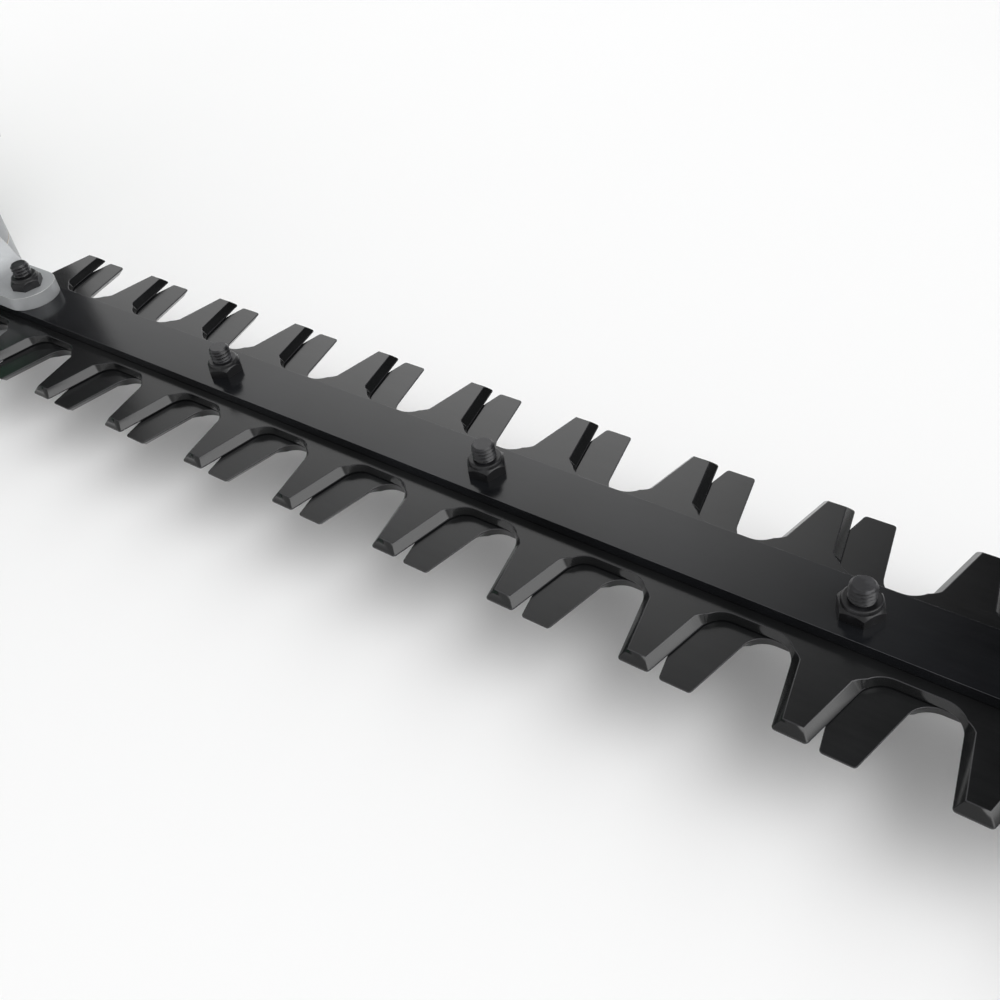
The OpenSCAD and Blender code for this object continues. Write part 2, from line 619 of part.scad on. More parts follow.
module housing_half(side) {
    difference() {
        union() {
            intersection() {
                housing_solid();
                half_space(side);
            }
            intersection() {
                union() {
                    for (p = screw_posts) translate([p[0], -60, p[1]]) rotate([-90, 0, 0])
                        cylinder(h = 120, r = 4.6, $fn = 20);
                    for (s = [-1, 1]) translate([trigger_pivot[0], s * 6.2, trigger_pivot[1]])
                        rotate([-90 * s, 0, 0]) cylinder(h = 14, r = 3.6, $fn = 20);
                    for (x = [-154.8, -124.7]) translate([x, -20, 155.2]) cube([2.5, 40, 8]);
                    for (s = [-1, 1]) translate([guard_x - 16, s * guard_boss_y, guard_boss_z])
                        rotate([0, 90, 0]) cylinder(h = 15.9, r = 6.2, $fn = 24);
                    for (s = [-1, 1]) hoop_frame() translate([0, s * 31, 0]) rotate([-90 * s, 0, 0])
                        cylinder(h = 12, r = 8, $fn = 24);
                }
                union() {
                    housing_outer();
                    translate([guard_x - 16, -60, 40]) cube([16, 120, 40]);
                }
                half_space(side);
            }
        }
        for (p = screw_posts) translate([p[0], side > 0 ? -1 : -60, p[1]]) rotate([-90, 0, 0]) {
            cylinder(h = side > 0 ? 9 : 61, r = 1.6, $fn = 16);
            if (side < 0) cylinder(h = 48, r = 3.4, $fn = 20);
        }
        translate([trigger_pivot[0], -9.3, trigger_pivot[1]]) rotate([-90, 0, 0])
            cylinder(h = 18.6, r = 1.55, $fn = 16);
        translate([0, 0, case_z]) cylinder(h = case_top - case_z + 1, r = case_r - 3.2, $fn = 64);
        for (s = [-1, 1]) translate([guard_x - 10, s * guard_boss_y, guard_boss_z]) rotate([0, 90, 0])
            cylinder(h = 12, r = 1.9, $fn = 16);
        for (s = [-1, 1]) hoop_frame() translate([0, s * 32, 0]) rotate([-90 * s, 0, 0])
            cylinder(h = 12, r = 2.55, $fn = 16);
        front_handle_mount(0.2);
    }
}

module housing_left() color("#2f6b45") housing_half(1);

module housing_right() color("#2f6b45") housing_half(-1);

module housing_screws() color("silver") for (p = screw_posts)
    translate([p[0], -12, p[1]]) rotate([-90, 0, 0]) pan_screw(1.5, 19, 3.1, 2.2);

module rear_grip() color("#1b1b1c") difference() {
    bar_links([upper_bar[2], upper_bar[3], upper_bar[4]], -1.6, 0.9);
    bar_links(upper_bar, -0.02, 0.9);
    translate([-162, -40, 100]) cube([100, 80, 100]);
    translate([-346, -40, 100]) cube([105, 80, 100]);
}

module trigger() color("#c8531c") difference() {
    translate([0, 5.8, 0]) rotate([90, 0, 0]) linear_extrude(11.6) polygon([
        [-114, 149], [-116, 143.4], [-124, 140.5], [-130, 132], [-139, 128.5], [-149, 130], [-154, 134],
        [-154.5, 149], [-148, 149.5], [-124, 149.5], [-118, 150.8]
    ]);
    translate([trigger_pivot[0], -20, trigger_pivot[1]]) rotate([-90, 0, 0]) cylinder(h = 40, r = 1.55);
}

module trigger_pin() color("silver") translate([trigger_pivot[0], -9, trigger_pivot[1]])
    rotate([-90, 0, 0]) cylinder(h = 18, r = 1.5);

// A coil of round wire along +Z
module coil(r, wire_r, turns, h) {
    sides = 6;
    per_turn = 12;
    n = turns * per_turn;
    ring = [for (i = [0:n]) for (s = [0:sides - 1]) let (a = i * 360 / per_turn, b = s * 360 / sides)
        [(r + wire_r * cos(b)) * cos(a), (r + wire_r * cos(b)) * sin(a), h * i / n + wire_r * sin(b)]];
    polyhedron(ring, concat(
        [[for (s = [0:sides - 1]) s]],
        [for (i = [0:n - 1]) for (s = [0:sides - 1]) let (t = (s + 1) % sides)
            [i * sides + s, (i + 1) * sides + s, (i + 1) * sides + t, i * sides + t]],
        [[for (s = [sides - 1:-1:0]) n * sides + s]]
    ), convexity = 6);
}

module trigger_spring() color("silver") translate([-142, 0, 150.2]) coil(2.6, 0.4, 4, 3.6);

module power_switch() color("#202124") {
    translate([-152, -6, 155.6]) cube([27, 12, 8]);
    for (y = [-3, 3]) translate([-149, y - 0.4, 163.6]) cube([4, 0.8, 2]);
    translate([-146, -3, 154.4]) cube([8, 6, 1.2]);
}

module lock_button() color("#c8531c") translate([lock_at[0], 0, 0]) {
    translate([-10, -6.5, 168.4]) cube([20, 13, 7.2]);
    translate([-7, -5, 167]) cube([14, 10, 1.5]);
}

// ---------- front handle and guard ----------

// Tilts what is drawn in the plane of the front handle: x along the machine, y across, z up the handle
module hoop_frame() translate([hoop_x, 0, hoop_low]) rotate([0, hoop_tilt, 0]) children();

hoop_rise = hoop_high - hoop_low;

// Flat pads of the front handle that lie against the cowl's sides
module front_handle_mount(grow) hoop_frame() for (s = [-1, 1])
    translate([0, s * 39.6, 0]) rotate([-90 * s, 0, 0]) cylinder(h = 14, r = 13 + grow, $fn = 40);

module front_handle() color("#1f2023") hoop_frame() difference() {
    union() {
        for (s = [-1, 1]) {
            translate([0, s * 40, 0]) rotate([-90 * s, 0, 0]) cylinder(h = 9, r = 12.6);
            translate([0, s * 45, 0]) rotate([-90 * s, 0, 0]) cylinder(h = hoop_half_w - 45, r = hoop_r);
            translate([0, s * hoop_half_w, 0]) sphere(hoop_r);
            translate([0, s * hoop_half_w, 0]) cylinder(h = hoop_rise - hoop_bend, r = hoop_r);
            translate([0, s * (hoop_half_w - hoop_bend), hoop_rise - hoop_bend]) rotate([90, 0, 90])
                mirror([s < 0 ? 1 : 0, 0, 0]) rotate_extrude(angle = 90)
                    translate([hoop_bend, 0]) circle(hoop_r);
        }
        translate([0, -hoop_half_w + hoop_bend, hoop_rise]) rotate([-90, 0, 0])
            cylinder(h = 2 * (hoop_half_w - hoop_bend), r = hoop_r);
    }
    // guides for the ends of the switch lever
    for (s = [-1, 1]) translate([-4.6, s * (hoop_half_w - hoop_r + 0.6) - 4.6, lever_z - hoop_low - 6.6])
        cube([9.2, 9.2, 22]);
    for (s = [-1, 1]) translate([0, s * 60, 0]) rotate([90 * s, 0, 0]) translate([0, 0, -30]) {
        cylinder(h = 60, r = 2.6);
        cylinder(h = 34, r = 5.2);
    }
}

module front_grip() color("#1b1b1c") hoop_frame()
    translate([0, -36, hoop_rise]) rotate([-90, 0, 0]) difference() {
        union() {
            cylinder(h = 72, r = hoop_r + 2.4);
            for (y = [2, 70]) translate([0, 0, y - 2]) cylinder(h = 4, r = hoop_r + 3.4);
        }
        translate([0, 0, -cut]) cylinder(h = 73, r = hoop_r + 0.02);
    }

module switch_lever() color("#c8531c") hoop_frame() {
    translate([-5.6, -46, lever_z - hoop_low - 5]) cube([11.2, 92, 9]);
    end_l = hoop_half_w - hoop_r - 43.4;
    for (s = [-1, 1]) translate([-4.2, s > 0 ? 45 : -45 - end_l, lever_z - hoop_low - 4])
        cube([8.4, end_l, 7]);
}

module front_handle_screws() color("silver") hoop_frame() for (s = [-1, 1])
    translate([0, s * 56.1, 0]) rotate([90 * s, 0, 0]) pan_screw(2.5, 22, 4.8, 3.4);

// Arched shield in front of the front handle, cut to clear the cowl
module hand_guard() color("#222326") difference() {
    translate([guard_x, 0, 0]) rotate([90, 0, 90]) linear_extrude(3)
        polygon([
            [-59, 54], [59, 54], [66, 78], [68, 150], [60, 170], [40, 178],
            [-40, 178], [-60, 170], [-68, 150], [-66, 78]
        ]);
    cowl(-0.4);
    translate([0, -30, 40]) cube([60, 60, 30]);
    for (s = [-1, 1]) translate([0, s * guard_boss_y, guard_boss_z]) rotate([0, 90, 0])
        cylinder(h = 40, r = 2.2);
}

module guard_screws() color("silver") for (s = [-1, 1])
    translate([guard_x + 3, s * guard_boss_y, guard_boss_z]) rotate([0, -90, 0])
        pan_screw(1.85, 12, 4.2, 2.6);

// ---------- electrics and battery ----------

module terminal_block() color("#1c1c1e") {
    translate([-231.6, -16, 66]) cube([16, 32, 9]);
    for (y = [-10, 0, 10]) translate([-228, y - 0.6, 59]) cube([12, 1.2, 8]);
}

module controller_board() color("#1e5a3a") {
    translate([-298, -28, 72]) cube([60, 56, 1.6]);
    for (x = [-292, -246]) for (y = [-22, 22]) translate([x, y, 65]) cylinder(h = 7.5, r = 2.5, $fn = 24);
    for (x = [-290, -276, -262]) translate([x, -14, 73.6]) cube([8, 10, 5]);
    for (y = [4, 16]) translate([-272, y, 73.6]) cylinder(h = 11, r = 4.5);
}

// Wires from the controller: a pair through the upper bar to the switch, a pair below to the motor
switch_route = [
    [-268, 88], [-266, 104], [-256, 126], [-238, 139],
    [-196, 151], [-166, 160.5], [-157, 166.6], [-148, 167.6]
];
motor_route = [[-236, 82], [-205, 83], [-150, 76.4], [-88, 76.4], [-71, 79]];
module wires(route) for (y = [-3, 3]) for (i = [0:len(route) - 2]) hull()
    for (p = [route[i], route[i + 1]]) translate([p[0], y, p[1]]) sphere(1.8, $fn = 10);

module wiring_loom() color("#b02a20") {
    wires(switch_route);
    wires(motor_route);
}

// The outer shape of the battery between two heights, shrunk by inset
module battery_block(z0, z1, inset) hull() for (x = [battery_x - battery_l + 8, battery_x - 8])
    for (y = [-battery_w / 2 + 8, battery_w / 2 - 8]) translate([x, y, z0])
        cylinder(h = z1 - z0, r = 8 - inset, $fn = 32);

split_z = 28;

module battery_case_lower() color("#1f2023") difference() {
    battery_block(0, split_z, 0);
    battery_block(3, split_z + 1, 2.5);
}

module battery_case_upper() color("#1f2023") difference() {
    union() {
        difference() {
            battery_block(split_z, battery_h, 0);
            battery_block(split_z - 1, battery_h - 3, 2.5);
        }
        translate([battery_x - battery_l + 14, -rail_half_w + 3.6, battery_h - 1])
            cube([battery_l - 17, 2 * rail_half_w - 7.2, 4]);
        translate([battery_x - battery_l + 14, -rail_half_w, 58.4])
            cube([battery_l - 17, 2 * rail_half_w, 2.8]);
    }
    for (y = [-10, 0, 10]) translate([battery_x - 24, y - 1.6, 56.4]) cube([30, 3.2, 10]);
    translate([battery_x - battery_l - 1, -14.4, battery_h - 16]) cube([12, 28.8, 20]);
}

module battery_cells() color("#2f6fb0") for (i = [0:4]) for (j = [0:1])
    translate([battery_x - battery_l / 2 + (i - 2) * 19.5, -cell_l / 2, 13 + j * 19.5]) rotate([-90, 0, 0])
        cylinder(h = cell_l, r = cell_r);

module battery_board() color("#1e5a3a")
    translate([battery_x - battery_l + 16, -25, 45]) cube([88, 50, 1.6]);

// Spring contacts that grip the terminal blades
module battery_contacts() color("#c9a24a") for (y = [-10, 0, 10]) for (s = [-1, 1])
    translate([battery_x - 23.5, y + s * 1.1 - 0.4, 56.5]) cube([14, 0.8, 4]);

module battery_release() color("#c8531c") {
    translate([battery_x - battery_l - 1.6, -14, battery_h - 12]) cube([10, 28, 9]);
    translate([battery_x - battery_l + 4, -9, battery_h - 3.2]) cube([4, 18, 2.6]);
}

guide_bar();
upper_blade();
lower_blade();
blade_bolts();
blade_nuts();
blade_washers();
blade_collars();
bar_dowel();
gear_case();
lower_cover();
case_gasket();
cover_screws();
drive_gear();
gear_shaft();
upper_cam();
lower_cam();
cam_spacer();
gear_bearing_lower();
gear_bearing_upper();
pinion();
motor_shaft();
rotor_core();
rotor_magnets();
stator_core();
stator_windings();
motor_can();
motor_end_bell();
motor_bearing_lower();
motor_bearing_upper();
cooling_fan();
motor_screws();
housing_left();
housing_right();
housing_screws();
rear_grip();
trigger();
trigger_pin();
trigger_spring();
power_switch();
lock_button();
front_handle();
front_grip();
switch_lever();
front_handle_screws();
hand_guard();
guard_screws();
terminal_block();
controller_board();
wiring_loom();
battery_case_lower();
battery_case_upper();
battery_cells();
battery_board();
battery_contacts();
battery_release();
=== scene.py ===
"""Looks of the battery hedge trimmer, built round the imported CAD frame.

The scene is in metres. Named lengths are in millimetres unless their comment says otherwise, and
MM converts them.
"""

import json
import math

import bmesh
import bpy
from mathutils import Matrix, Vector


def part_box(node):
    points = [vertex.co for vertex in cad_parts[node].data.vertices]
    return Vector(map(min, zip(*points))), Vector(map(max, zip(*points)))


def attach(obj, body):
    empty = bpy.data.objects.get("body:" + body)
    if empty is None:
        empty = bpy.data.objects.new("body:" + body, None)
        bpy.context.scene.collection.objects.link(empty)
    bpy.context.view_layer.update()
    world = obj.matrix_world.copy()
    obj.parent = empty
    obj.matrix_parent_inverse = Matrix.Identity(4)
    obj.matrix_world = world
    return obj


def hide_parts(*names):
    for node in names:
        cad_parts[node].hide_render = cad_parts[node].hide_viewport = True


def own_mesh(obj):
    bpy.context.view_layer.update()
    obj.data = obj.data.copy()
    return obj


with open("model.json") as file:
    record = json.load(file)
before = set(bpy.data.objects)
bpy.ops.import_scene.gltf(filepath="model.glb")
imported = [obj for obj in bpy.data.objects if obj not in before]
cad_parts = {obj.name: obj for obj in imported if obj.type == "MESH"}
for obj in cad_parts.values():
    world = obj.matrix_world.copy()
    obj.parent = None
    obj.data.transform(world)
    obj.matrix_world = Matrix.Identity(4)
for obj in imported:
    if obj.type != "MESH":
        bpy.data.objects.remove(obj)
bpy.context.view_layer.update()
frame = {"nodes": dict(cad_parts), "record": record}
NODES = frame["nodes"]
BODY_OF = {n: b for b, members in frame["record"]["behaviour"]["bodies"].items() for n in members}
SLOT_OF = {s["node"]: s["material_slot"] for s in frame["record"]["subparts"]}
MM = 0.001


# ---------------------------------------------------------------- materials
# Textures run on object coordinates in metres, so a noise at scale 1000 has grains of about a millimetre.
# Bump distances are in metres too
class Graph:
    """A node material under construction: one Principled shader and helpers that feed its sockets."""

    def __init__(self, name):
        self.material = bpy.data.materials.new(name)
        self.material.use_nodes = True
        self.tree = self.material.node_tree
        self.shader = self.tree.nodes["Principled BSDF"]
        self.coord = self.add("ShaderNodeTexCoord").outputs["Object"]
        self.normal = None

    def add(self, kind, **settings):
        node = self.tree.nodes.new(kind)
        for key, value in settings.items():
            setattr(node, key, value)
        return node

    def link(self, a, b):
        self.tree.links.new(a, b)

    def stretched(self, stretch):
        """Object coordinates scaled along each axis; the texture runs long where the scale is small."""
        mapping = self.add("ShaderNodeMapping")
        mapping.inputs["Scale"].default_value = stretch
        self.link(self.coord, mapping.inputs["Vector"])
        return mapping.outputs["Vector"]

    def noise(self, scale, detail=3.0, rough=0.55, stretch=None):
        node = self.add("ShaderNodeTexNoise")
        node.inputs["Scale"].default_value = scale
        node.inputs["Detail"].default_value = detail
        node.inputs["Roughness"].default_value = rough
        self.link(self.stretched(stretch) if stretch else self.coord, node.inputs["Vector"])
        return node.outputs["Fac"]

    def voronoi(self, scale, feature="F1"):
        node = self.add("ShaderNodeTexVoronoi", feature=feature)
        node.inputs["Scale"].default_value = scale
        self.link(self.coord, node.inputs["Vector"])
        return node.outputs["Distance"]

    def ramp(self, value, low, high, out_low=0.0, out_high=1.0):
        """Carries low..high over to out_low..out_high and holds the ends."""
        node = self.add("ShaderNodeMapRange")
        node.inputs["From Min"].default_value = low
        node.inputs["From Max"].default_value = high
        node.inputs["To Min"].default_value = out_low
        node.inputs["To Max"].default_value = out_high
        self.link(value, node.inputs["Value"])
        return node.outputs["Result"]

    def mix(self, factor, a, b):
        """a and b are colours, or sockets that carry them."""
        node = self.add("ShaderNodeMix", data_type="RGBA")
        self.link(factor, node.inputs["Factor"])
        for value, socket in ((a, node.inputs["A"]), (b, node.inputs["B"])):
            if isinstance(value, tuple):
                socket.default_value = (*value, 1.0)
            else:
                self.link(value, socket)
        return node.outputs["Result"]

    def bump(self, height, strength, distance):
        """Adds a bump on top of those added before."""
        node = self.add("ShaderNodeBump")
        node.inputs["Strength"].default_value = strength
        node.inputs["Distance"].default_value = distance
        self.link(height, node.inputs["Height"])
        if self.normal is not None:
            self.link(self.normal, node.inputs["Normal"])
        self.normal = node.outputs["Normal"]

    def finish(self, colour, rough, metallic=0.0, specular=0.5, coat=0.0):
        """colour is a socket or a tuple; rough is a socket or a number."""
        for value, name in ((colour, "Base Color"), (rough, "Roughness")):
            socket = self.shader.inputs[name]
            if isinstance(value, tuple):
                socket.default_value = (*value, 1.0)
            elif isinstance(value, float):
                socket.default_value = value
            else:
                self.link(value, socket)
        self.shader.inputs["Metallic"].default_value = metallic
        self.shader.inputs["Specular IOR Level"].default_value = specular
        self.shader.inputs["Coat Weight"].default_value = coat
        if self.normal is not None:
            self.link(self.normal, self.shader.inputs["Normal"])
        return self.material


def scaled(colour, k):
    """A colour made k times as bright."""
    return tuple(min(1.0, c * k) for c in colour)


def painted(name, colour, rough_low, rough_high, spread=0.35, specular=0.5):
    """Baked gloss paint: orange peel, faint dust, rubbing marks along the blade."""
    g = Graph(name)
    cloud = g.noise(28.0, 4.0)
    rub = g.noise(60.0, 5.0, 0.7, stretch=(1.2, 22.0, 8.0))
    tone = g.mix(g.ramp(cloud, 0.35, 0.7), scaled(colour, 1 - spread), scaled(colour, 1 + spread))
    tone = g.mix(g.ramp(rub, 0.62, 0.8, 0.0, 0.25), tone, scaled(colour, 3.2))
    g.bump(g.noise(1500.0, 2.0), 0.05, 0.00006)
    g.bump(rub, 0.04, 0.0001)
    return g.finish(tone, g.ramp(rub, 0.3, 0.75, rough_low, rough_high), 0.0, specular)


def ground_steel(name, colour, rough_low=0.25, rough_high=0.45, along=(2.0, 90.0, 90.0), metallic=1.0):
    """Steel with grinding lines along one direction and a little staining."""
    g = Graph(name)
    lines = g.noise(40.0, 6.0, 0.75, stretch=along)
    stain = g.noise(35.0, 4.0)
    tone = g.mix(g.ramp(lines, 0.3, 0.7), scaled(colour, 0.72), scaled(colour, 1.15))
    tone = g.mix(g.ramp(stain, 0.52, 0.75, 0.0, 0.5), tone, scaled(colour, 0.55))
    g.bump(lines, 0.12, 0.00008)
    return g.finish(tone, g.ramp(lines, 0.25, 0.75, rough_low, rough_high), metallic)


def cast_metal(name, colour, metallic=0.55, rough=(0.46, 0.62)):
    """Bead-blasted die casting: fine grain, soft flow marks and darker pits."""
    g = Graph(name)
    grain = g.noise(1400.0, 3.0, 0.6)
    flow = g.noise(22.0, 4.0)
    pits = g.voronoi(420.0)
    tone = g.mix(g.ramp(flow, 0.35, 0.7), scaled(colour, 0.86), scaled(colour, 1.08))
    tone = g.mix(g.ramp(pits, 0.02, 0.09, 0.35, 0.0), tone, scaled(colour, 0.5))
    g.bump(grain, 0.22, 0.00012)
    g.bump(flow, 0.1, 0.0006)
    return g.finish(tone, g.ramp(grain, 0.3, 0.7, *rough), metallic)


def oxide(name, colour):
    """Black-oxide fastener: oily sheen with rubbed patches."""
    g = Graph(name)
    patch = g.noise(260.0, 4.0)
    tone = g.mix(g.ramp(patch, 0.5, 0.72), colour, scaled(colour, 2.6))
    g.bump(g.noise(2600.0, 2.0), 0.1, 0.00004)
    return g.finish(tone, g.ramp(patch, 0.3, 0.7, 0.26, 0.4), 0.1, 0.4)


def moulded(name, colour, grain=1700.0, strength=0.35, rough=(0.42, 0.58), coat=0.0):
    """Injection-moulded plastic with a spark-eroded texture and slight colour drift."""
    g = Graph(name)
    cells = g.voronoi(grain)
    drift = g.noise(14.0, 3.0)
    scuff = g.noise(75.0, 6.0, 0.75, stretch=(1.0, 1.6, 5.0))
    tone = g.mix(g.ramp(drift, 0.3, 0.7), scaled(colour, 0.9), scaled(colour, 1.1))
    scuffed = tuple(min(1.0, c * 1.5 + 0.02) for c in colour)
    tone = g.mix(g.ramp(scuff, 0.66, 0.82, 0.0, 0.3), tone, scuffed)
    g.bump(cells, strength, 0.00012)
    return g.finish(tone, g.ramp(scuff, 0.3, 0.75, *rough), 0.0, 0.45, coat)


def rubber(name, colour, axis):
    """Soft overmould: moulded ribs across the hand, fine dimples, patches of dust, and rib crests made
    paler as a painted highlight.
    """
    g = Graph(name)
    ribs = g.add("ShaderNodeTexWave", wave_type="BANDS", bands_direction=axis, wave_profile="SIN")
    ribs.inputs["Scale"].default_value = 50.0
    g.link(g.coord, ribs.inputs["Vector"])
    dimples = g.voronoi(700.0, "SMOOTH_F1")
    dust = g.noise(40.0, 5.0)
    tone = g.mix(g.ramp(dust, 0.4, 0.75), colour, scaled(colour, 1.9))
    # Painted highlight: the rib crests are made paler
    tone = g.mix(g.ramp(ribs.outputs["Fac"], 0.7, 1.0, 0.0, 0.5), tone, scaled(colour, 2.2))
    g.bump(ribs.outputs["Fac"], 0.7, 0.0012)
    g.bump(dimples, 0.5, 0.00025)
    return g.finish(tone, g.ramp(dust, 0.3, 0.7, 0.6, 0.8), 0.0, 0.35)


def plain(name, colour, rough=0.4, metallic=0.0, scale=300.0):
    """Small inner pieces: mottled colour and a fine grain."""
    g = Graph(name)
    mottle = g.noise(scale, 4.0)
    tone = g.mix(g.ramp(mottle, 0.35, 0.7), scaled(colour, 0.8), scaled(colour, 1.15))
    g.bump(mottle, 0.1, 0.0001)
    return g.finish(tone, g.ramp(mottle, 0.3, 0.7, rough * 0.85, rough * 1.15), metallic)


# The finish of each material slot
PALETTE = {
    "blade_paint": painted("gloss_black_paint", (0.0075, 0.0078, 0.0082), 0.14, 0.22),
    "black_steel": oxide("black_oxide", (0.007, 0.007, 0.0078)),
    "case_aluminium": cast_metal("cast_aluminium", (0.40, 0.41, 0.42)),
    "bright_steel": ground_steel("zinc_steel", (0.62, 0.62, 0.6), along=(6.0, 6.0, 60.0)),
    "hard_steel": ground_steel("hardened_steel", (0.4, 0.4, 0.41), along=(40.0, 40.0, 3.0)),
    "gasket_paper": plain("gasket_fibre", (0.3, 0.24, 0.17), 0.8),
    "lamination": ground_steel("lamination_steel", (0.3, 0.31, 0.32), along=(1.0, 1.0, 90.0)),
    "copper": plain("enamelled_copper", (0.62, 0.27, 0.1), 0.3, 0.8),
    "magnet": plain("magnet_plating", (0.25, 0.25, 0.26), 0.3, 0.9),
    "can_steel": plain("motor_paint", (0.05, 0.05, 0.055), 0.4),
    "fan_plastic": moulded("fan_plastic", (0.03, 0.03, 0.032)),
    "housing_green": moulded("housing_plastic", (0.035, 0.15, 0.075), coat=0.05),
    "grip_rubber": rubber("grip_rubber", (0.018, 0.018, 0.019), "X"),
    "control_orange": moulded("control_plastic", (0.62, 0.13, 0.015), 2200.0, 0.2, (0.32, 0.45)),
    "black_plastic": moulded("black_plastic", (0.024, 0.024, 0.026)),
    "circuit": plain("circuit_lacquer", (0.02, 0.14, 0.06), 0.25),
    "wire_red": plain("wire_insulation", (0.4, 0.02, 0.015), 0.35),
    "cell_wrap": plain("cell_wrap", (0.06, 0.17, 0.34), 0.3),
    "contact_brass": plain("contact_brass", (0.75, 0.55, 0.25), 0.25, 1.0),
}
# The finish of a slot's rounded edges, paler than the slot: partly wear, partly a painted edge highlight
EDGE_WEAR_AND_HIGHLIGHT = {
    "blade_paint": painted("rubbed_and_highlit_paint_edge", (0.022, 0.022, 0.024), 0.2, 0.3),
    "case_aluminium": cast_metal("worn_and_highlit_aluminium_edge", (0.72, 0.72, 0.71), 0.9, (0.3, 0.42)),
    "black_steel": oxide("rubbed_and_highlit_oxide_edge", (0.06, 0.06, 0.064)),
}
# Finishes of single pieces or faces
FRONT_RUBBER = rubber("front_grip_rubber", (0.018, 0.018, 0.019), "Y")
GROUND = painted("bevel_paint", (0.011, 0.0112, 0.0125), 0.24, 0.34, specular=0.42)
BAR_PAINT = painted("bar_paint", (0.0065, 0.007, 0.0082), 0.13, 0.2, specular=0.42)
# The guide bar's rounded edges, painted pale as a highlight line along its edges
BAR_EDGE_HIGHLIGHT = painted("bar_paint_edge_highlight", (0.05, 0.051, 0.055), 0.2, 0.3)
THREAD = oxide("thread_oxide", (0.02, 0.02, 0.022))


# ---------------------------------------------------------------- pieces
# Corners closer than this, in metres, are welded
WELD = 2e-6
# Faces that meet flatter than this are joined
FLAT = math.radians(0.4)
# Edges sharper than this stay sharp under smooth shading
CREASE = math.radians(32.0)


def softened(node, width, segments=2, angle=30.0):
    """A copy of a CAD node with its edges rounded, riding in its place."""
    source = NODES[node]
    bm = bmesh.new()
    bm.from_mesh(source.data)
    bmesh.ops.remove_doubles(bm, verts=bm.verts, dist=WELD)
    bmesh.ops.dissolve_limit(bm, angle_limit=FLAT, verts=bm.verts, edges=bm.edges)
    mesh = bpy.data.meshes.new(node + "_finish")
    bm.to_mesh(mesh)
    bm.free()
    piece = bpy.data.objects.new(mesh.name, mesh)
    bpy.context.scene.collection.objects.link(piece)
    slot = SLOT_OF[node]
    mesh.materials.append(PALETTE[slot])
    if slot in EDGE_WEAR_AND_HIGHLIGHT:
        mesh.materials.append(EDGE_WEAR_AND_HIGHLIGHT[slot])
    mod = piece.modifiers.new("round", "BEVEL")
    mod.width = width
    mod.segments = segments
    mod.limit_method = "ANGLE"
    mod.angle_limit = math.radians(angle)
    mod.use_clamp_overlap = True
    mod.miter_outer = "MITER_ARC"
    # Rounded edges take the slot's paler edge finish: wear plus a painted edge highlight
    if slot in EDGE_WEAR_AND_HIGHLIGHT:
        mod.material = 1
    weigh(piece)
    settle(piece)
    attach(piece, BODY_OF[node])
    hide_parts(node)
    return piece


def weigh(piece):
    """Keeps flats flat beside their rounded edges."""
    piece.data.polygons.foreach_set("use_smooth", [True] * len(piece.data.polygons))
    mod = piece.modifiers.new("weigh", "WEIGHTED_NORMAL")
    mod.mode = "FACE_AREA"
    mod.weight = 90
    mod.keep_sharp = True


def settle(piece):
    """Applies a piece's modifiers."""
    bpy.context.view_layer.update()
    graph = bpy.context.evaluated_depsgraph_get()
    mesh = bpy.data.meshes.new_from_object(piece.evaluated_get(graph), depsgraph=graph)
    old = piece.data
    piece.modifiers.clear()
    piece.data = mesh
    mesh.name = old.name + "_mesh"
    bpy.data.meshes.remove(old)


def placed(name, bm):
    """Puts a finished bmesh into the scene as an object."""
    mesh = bpy.data.meshes.new(name)
    bm.to_mesh(mesh)
    bm.free()
    piece = bpy.data.objects.new(name, mesh)
    bpy.context.scene.collection.objects.link(piece)
    return piece


def dress(node):
    """A CAD node kept as it is, with its finish and smooth shading on its rounds."""
    obj = NODES[node]
    obj.data.materials.clear()
    obj.data.materials.append(PALETTE[SLOT_OF[node]])
    obj.data.polygons.foreach_set("use_smooth", [True] * len(obj.data.polygons))
    obj.data.set_sharp_from_angle(angle=CREASE)


def moulding(node, voxel, passes, keep=0.3):
    """A moulded shell: the CAD solid re-meshed finely and relaxed, so that its joins flow together."""
    piece = bpy.data.objects.new(node + "_finish", NODES[node].data.copy())
    bpy.context.scene.collection.objects.link(piece)
    piece.data.materials.clear()
    piece.data.materials.append(PALETTE[SLOT_OF[node]])
    mod = piece.modifiers.new("voxel", "REMESH")
    mod.mode = "VOXEL"
    mod.voxel_size = voxel
    mod.use_smooth_shade = True
    mod = piece.modifiers.new("relax", "SMOOTH")
    mod.factor = 0.5
    mod.iterations = passes
    mod = piece.modifiers.new("thin", "DECIMATE")
    mod.ratio = keep
    settle(piece)
    piece.data.polygons.foreach_set("use_smooth", [True] * len(piece.data.polygons))
    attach(piece, BODY_OF[node])
    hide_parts(node)
    return piece


def trigger_spring():
    """The trigger's return spring, as a copy with a mesh of its own that rides with its body. The real
    spring shortens towards the switch as the trigger comes up; nothing here changes the copy's shape.
    """
    node = "trigger_spring"
    dress(node)
    piece = bpy.data.objects.new(node + "_finish", NODES[node].data.copy())
    bpy.context.scene.collection.objects.link(piece)
    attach(piece, BODY_OF[node])
    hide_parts(node)
    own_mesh(piece)


# The hand guard's ribs stand on its front face, in pairs either side of the middle one
RIB_PITCH = 16.0
RIB_PAIRS = 3
RIB_HALF_WIDTH = 2.6
RIB_RISE = 1.3
RIB_SUNK = 0.2  # into the guard
RIB_COLUMNS = 8
RIB_ROWS = 24
# Heights of the middle rib's foot and head, and how both come down with the distance y from the middle
RIB_FOOT = 112.0
FOOT_PER_Y = 0.45
RIB_HEAD = 168.0
HEAD_PER_Y2 = 0.004
# The higher this power is, the more abruptly a rib ends
RIB_END_POWER = 12


